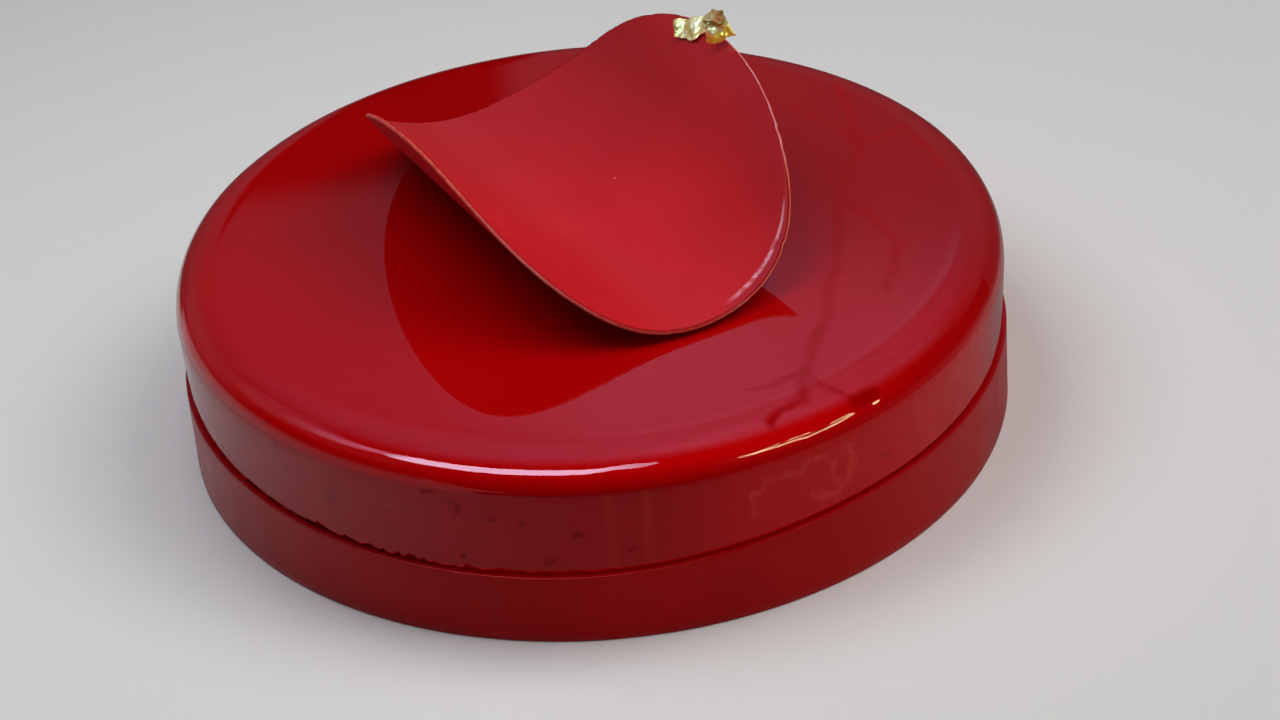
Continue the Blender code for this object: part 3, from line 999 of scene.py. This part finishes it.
def disc_point(share, level, angle):
    """A point of the disc's surface, with its marks.

    The marks are its place across the roll, 0 at the edge and 1 at the roll's inner line, how far the face is
    rolled and gleams there, and its level.
    """
    chip = CUT_CHIPS[0] * around(angle, 0.03, 31.0) + CUT_CHIPS[1] * around(angle, 0.008, 37.0)
    reach = share * (1 + min(0.0, chip) / DISC_RADIUS)
    s = reach * math.cos(angle)
    w = reach * math.sin(angle)
    turn = math.degrees(angle)
    width = ROLL_WIDTHS[0] + (ROLL_WIDTHS[1] - ROLL_WIDTHS[0]) * step_up(turn, *ROLL_NARROWS)
    inside = (1 - share) * DISC_RADIUS / width
    rolled = in_turn(turn, ROLL_SPAN)
    drop = ROLL_DEPTH * rolled * max(0.0, 1 - inside) ** 2 * (1 + level) / 2
    point = disc_middle(s, w, LIFT) + disc_normal(s, w) * (DISC_THICKNESS / 2 * level - drop)
    return point, (inside, rolled, in_turn(turn, GLEAM_SPAN), level)


def disc_piece(materials):
    """Both faces of the sheet, its softened, slightly ragged cut edge and the roll of the upper face."""
    rings, upper = disc_rings()
    made = [disc_point(0.0, 1.0, 0.0)]
    for share, level in rings:
        made += [disc_point(share, level, 2 * math.pi * k / DISC_SEGMENTS) for k in range(DISC_SEGMENTS)]
    made.append(disc_point(0.0, -1.0, 0.0))
    points, marks = zip(*made)
    last = len(points) - 1
    turns = [(k, (k + 1) % DISC_SEGMENTS) for k in range(DISC_SEGMENTS)]
    faces = []
    slots = []
    for ring in range(len(rings) - 1):
        here = 1 + ring * DISC_SEGMENTS
        there = here + DISC_SEGMENTS
        faces += [(here + k, there + k, there + after, here + after) for k, after in turns]
        slots += [0 if ring < upper else 1 if ring < upper + CUT_STEPS else 2] * DISC_SEGMENTS
    for k, after in turns:
        faces.append((0, 1 + k, 1 + after))
        faces.append((last, last - DISC_SEGMENTS + after, last - DISC_SEGMENTS + k))
        slots += [0, 2]
    piece = new_piece("bent_chocolate_disc", points, faces, materials)
    for polygon, slot in zip(piece.data.polygons, slots):
        polygon.material_index = slot
    add_marks(piece, dict(zip(("inside", "rolled", "gleam", "level"), zip(*marks))))
    return piece


def wobble(point):
    """A smooth sideways shift that differs from place to place."""
    shifts = [Vector((0.0, 0.0, 0.0)), Vector((7.0, 3.0, 1.0)), Vector((2.0, 9.0, 5.0))]
    return Vector([noise.noise(point + shift) for shift in shifts])


def leaf_frame():
    """The leaf's anchor on the disc's upper face, and the ways along its edge, up its slope and off it."""
    share, angle = LEAF_ANCHOR
    turn = math.radians(angle)
    outward = Vector((math.cos(turn), math.sin(turn)))
    spot = outward * share
    nudge = 0.001
    middle = disc_middle(spot.x, spot.y, LIFT)
    out = disc_normal(spot.x, spot.y)
    slope = disc_middle(spot.x + outward.x * nudge, spot.y + outward.y * nudge, LIFT) - middle
    along = slope.cross(out).normalized()
    return middle + out * (DISC_THICKNESS / 2), along, out.cross(along), out


LEAF_FRAME = leaf_frame()


def leaf_middle(u, v):
    """The leaf's middle surface: u runs along the strip and v from its lower edge to its upper one."""
    low = smooth_value([Vector(p) for p in LEAF_FOOT_LINE], u)
    high = smooth_value([Vector(p) for p in LEAF_TOP_LINE], u)
    tip = max(0.0, 1 - abs(u - LEAF_TIP_PLACE) / LEAF_TIP_WIDTH) * (1 - v) ** 4
    spot = low.lerp(high, v) + Vector(LEAF_TIP) * tip
    origin, along, up, out = LEAF_FRAME
    point = origin + (along * spot.x + up * spot.y + out * spot.z) * MM
    return point + wobble(point / LEAF_CREASE_SIZE) * (LEAF_CRUMPLE * (0.3 + 0.7 * v))


def gold_leaf(material):
    """The crumpled strip, a thin sheet with a second, finer crumple."""
    points = []
    places = []
    for i in range(LEAF_COLUMNS + 1):
        for j in range(LEAF_ROWS + 1):
            u = i / LEAF_COLUMNS
            v = j / LEAF_ROWS
            point = leaf_middle(u, v)
            points.append(point + wobble(point / LEAF_FINE_SIZE) * LEAF_FINE_CRUMPLE)
            places.append((u, v))
    stride = LEAF_ROWS + 1
    faces = []
    for i in range(LEAF_COLUMNS):
        for j in range(LEAF_ROWS):
            a = i * stride + j
            faces.append((a, a + stride, a + stride + 1, a + 1))
    piece = new_piece("crumpled_gold_leaf", points, faces, [material])
    add_marks(piece, dict(zip(("along", "across"), zip(*places))))
    thick = piece.modifiers.new("thickness", "SOLIDIFY")
    thick.thickness = LEAF_THICKNESS
    thick.offset = 0.0
    return piece


# Camera, floor and light

def aim_camera():
    """The camera looks at the middle of the foot, then turns, tips and rolls as the photograph's does."""
    elevation, yaw, pitch, roll = [
        math.radians(a) for a in (CAMERA_ELEVATION, CAMERA_YAW, CAMERA_PITCH, CAMERA_ROLL)
    ]
    spot = Vector((0.0, -math.cos(elevation), math.sin(elevation))) * CAMERA_DISTANCE
    ahead = -spot.normalized()
    right = Vector((1.0, 0.0, 0.0))
    up = right.cross(ahead)
    look = (ahead * math.cos(yaw) + right * math.sin(yaw)) * math.cos(pitch) + up * math.sin(pitch)
    level = look.cross(Vector((0.0, 0.0, 1.0))).normalized()
    rise = level.cross(look)
    side = level * math.cos(roll) + rise * math.sin(roll)
    top = rise * math.cos(roll) - level * math.sin(roll)
    data = bpy.data.cameras.new("camera")
    data.lens = CAMERA_LENS
    data.sensor_width = 36.0
    data.clip_start = 0.01
    camera = add_object("camera", data)
    camera.matrix_world = Matrix.Translation(spot) @ Matrix((side, top, -look)).transposed().to_4x4()
    bpy.context.scene.camera = camera


def direction(azimuth, elevation):
    a = math.radians(azimuth)
    e = math.radians(elevation)
    return Vector((math.cos(a) * math.cos(e), math.sin(a) * math.cos(e), math.sin(e)))


def panel(name, azimuth, elevation, distance, size, light, colour):
    """A square soft light that mirrors don't see; light is what it gives a white surface that faces it."""
    data = bpy.data.lights.new(name, "AREA")
    data.shape = "SQUARE"
    data.size = size
    data.energy = light * (math.pi * distance) ** 2
    data.color = colour
    lamp = add_object(name, data)
    way = direction(azimuth, elevation)
    turn = way.to_track_quat("Z", "Y").to_matrix().to_4x4()
    aim = Vector((0.0, 0.0, CAKE_HEIGHT))
    lamp.matrix_world = Matrix.Translation(aim + way * distance) @ turn
    lamp.visible_glossy = False
    lamp.visible_camera = False


def mirrored_light(way, z, azimuth, elevation):
    """How bright mirrors see the world: light from above and the left, a low glow and lit wall behind."""
    x, y = axes_of(way)[:2]

    def glow(azimuth, elevation, outer, inner, light):
        cosine = dot(way, tuple(direction(azimuth, elevation)))
        return ramp(cosine, math.cos(math.radians(outer)), math.cos(math.radians(inner)), 0.0, light)

    height = maths("POWER", maths("MAXIMUM", z, 0.0), 3.0)
    sky = product(height, maths("ADD", product(x, SKY_RISE), SKY_LIGHT))
    above = combined("ADD", [sky] + [glow(*row) for row in GLOWS_ABOVE])
    above = product(above, ramp(dot(way, SKY_TILT), *SKY_FADE))
    low_behind = product(ramp(y, *LOW_GLOW_BACK), ramp(z, *LOW_GLOW_TOP, 1.0, 0.0), ramp(z, *LOW_GLOW_GROWTH))
    low_behind = product(low_behind, LOW_GLOW)
    wall = product(in_span(azimuth, LIT_WALL[0]), in_span(elevation, LIT_WALL[1]), WALL_LIGHT)
    light = combined("ADD", [above, low_behind, wall] + [glow(*row) for row in GLOWS_LEFT])
    dark_wall = product(in_span(azimuth, DARK_WALL_SPAN), ramp(elevation, *DARK_WALL_TOP, 1.0, 0.0))
    light = product(light, ramp(dark_wall, 0.0, 1.0, 1.0, DARK_WALL_SHADE))
    return product(light, uneven(way, PATCH_SIZE, *PATCHES, 1.0))


def studio_world():
    """A pale backdrop, faint light all round, and the soft bright and dark parts that mirrors see."""
    world = bpy.data.worlds.new("studio")
    world.use_nodes = True
    bpy.context.scene.world = world
    tree = world.node_tree
    way = add_node(tree, "ShaderNodeTexCoord").outputs["Generated"]
    x, y, z = axes_of(way)
    elevation = maths("MULTIPLY", maths("ARCSINE", z), math.degrees(1.0))
    light = mirrored_light(way, z, azimuth_of(x, y), elevation)
    tone = blend(ramp(elevation, *TONE_CHANGE), LOW_TONE, HIGH_TONE)
    ray = add_node(tree, "ShaderNodeLightPath").outputs
    mirrored = vector_maths("MULTIPLY", tone, i1=light)["Vector"]
    colour = blend(ray["Is Glossy Ray"], FAINT_LIGHT, mirrored)
    set_sockets(tree.nodes["Background"], Color=blend(ray["Is Camera Ray"], colour, BACKDROP))


def mirror_only(item):
    """A stage piece that only mirror reflections see."""
    item.visible_camera = False
    item.visible_diffuse = False
    item.visible_transmission = False
    item.visible_volume_scatter = False
    item.visible_shadow = False


def upright_strip(name, low, high, material):
    """A strip of faces between two lists of points."""
    count = len(low)
    mesh = bpy.data.meshes.new(name)
    faces = [(i, i + 1, count + i + 1, count + i) for i in range(count - 1)]
    mesh.from_pydata([tuple(p) for p in low + high], [], faces)
    mesh.materials.append(material)
    mirror_only(add_object(name, mesh))


def between_stations(stations, steps):
    """The stations with steps - 1 more set evenly between each two."""
    rows = []
    for a, b in zip(stations, stations[1:]):
        rows += [[p + (q - p) * i / steps for p, q in zip(a, b)] for i in range(steps)]
    return rows + [stations[-1]]


def glow_material(name, colour, radiance):
    """A black surface that gives off light."""
    material, tree, shader = new_material(name)
    set_sockets(shader, Base_Color=(0.0, 0.0, 0.0), Emission_Color=colour, Emission_Strength=radiance)
    return material, tree, shader


def bright_strip():
    """The long soft strip in front that draws the streak along the glaze's near edge, dimmer at its ends."""
    rows = between_stations(STRIP_STATIONS, STRIP_STEPS)
    low = [direction(row[0], row[1]) * STRIP_DISTANCE for row in rows]
    high = [direction(row[0], row[2]) * STRIP_DISTANCE for row in rows]
    material, tree, shader = glow_material("bright_strip", STRIP_COLOUR, STRIP_RADIANCE)
    azimuth = azimuth_of(*axes_of(place(tree))[:2])
    left_end = ramp(azimuth, *STRIP_LEFT_END)
    right_end = ramp(azimuth, *STRIP_RIGHT_END)
    set_sockets(shader, Emission_Strength=product(left_end, right_end, STRIP_RADIANCE))
    upright_strip("bright_strip", low, high, material)


def ring_point(azimuth, radius, height):
    angle = math.radians(azimuth)
    return Vector((radius * math.cos(angle), radius * math.sin(angle), height))


def warm_lamps():
    """The thin warm lamps that draw bright lines on the glaze's right edge."""
    material = glow_material("warm_lamp", LAMP_COLOUR, LAMP_RADIANCE)[0]
    for number, stations in enumerate(LAMPS):
        rows = between_stations(stations, LAMP_STEPS)
        low = [ring_point(azimuth, LAMP_RADIUS, (z - half) * MM) for azimuth, z, half in rows]
        high = [ring_point(azimuth, LAMP_RADIUS, (z + half) * MM) for azimuth, z, half in rows]
        upright_strip(f"warm_lamp_{number}", low, high, material)


def dark_cards():
    """The low cards that darken what the glaze's side and the band reflect."""
    for number, (colour, stations) in enumerate(CARDS):
        material = glow_material(f"dark_card_{number}", colour, 1.0)[0]
        rows = between_stations(stations, CARD_STEPS)
        low = [ring_point(row[0], CARD_RADIUS, row[1] * MM) for row in rows]
        high = [ring_point(row[0], CARD_RADIUS, row[2] * MM) for row in rows]
        upright_strip(f"dark_card_{number}", low, high, material)


def pale_floor():
    """A plain pale floor; mirrors see it darker, most so in front and on the right."""
    corners = [(x * FLOOR_REACH, y * FLOOR_REACH, 0.0) for x, y in ((-1, -1), (1, -1), (1, 1), (-1, 1))]
    mesh = bpy.data.meshes.new("floor")
    mesh.from_pydata(corners, [], [(0, 1, 2, 3)])
    floor = add_object("floor", mesh)
    material, tree, shader = new_material("pale_floor")
    where = place(tree)
    distance = vector_maths("LENGTH", where)["Value"]
    on_left = ramp(distance, *FLOOR_ON_LEFT)
    on_right = ramp(distance, *FLOOR_ON_RIGHT)
    to_right = ramp(axes_of(where)[0], *FLOOR_LEFT_TO_RIGHT)
    mirrored = add_node(tree, "ShaderNodeMix", i0=to_right, i2=on_left, i3=on_right).outputs["Result"]
    in_mirror = add_node(tree, "ShaderNodeLightPath").outputs["Is Glossy Ray"]
    shade = add_node(tree, "ShaderNodeMix", i0=in_mirror, i2=FLOOR_TONE, i3=mirrored).outputs["Result"]
    set_sockets(shader, Base_Color=shade, Roughness=0.8, Specular_IOR_Level=0.2)
    mesh.materials.append(material)


# The making

def own(piece, node):
    """Ties a piece to the solid that it replaces."""
    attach(piece, "root")
    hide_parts(node)


def main():
    scene = bpy.context.scene
    scene.view_settings.view_transform = "Standard"
    aim_camera()
    own(glazed_cake(glaze_material()), "glazed_cake")
    own(chocolate_band(band_material()), "chocolate_band")
    disc = disc_piece([disc_material(), cut_edge_material(), disc_underside_material()])
    own(disc, "chocolate_disc")
    own(gold_leaf(gold_material()), "gold_leaf")
    pale_floor()
    studio_world()
    for name, values in PANELS.items():
        panel(name, *values)
    bright_strip()
    warm_lamps()
    dark_cards()


main()
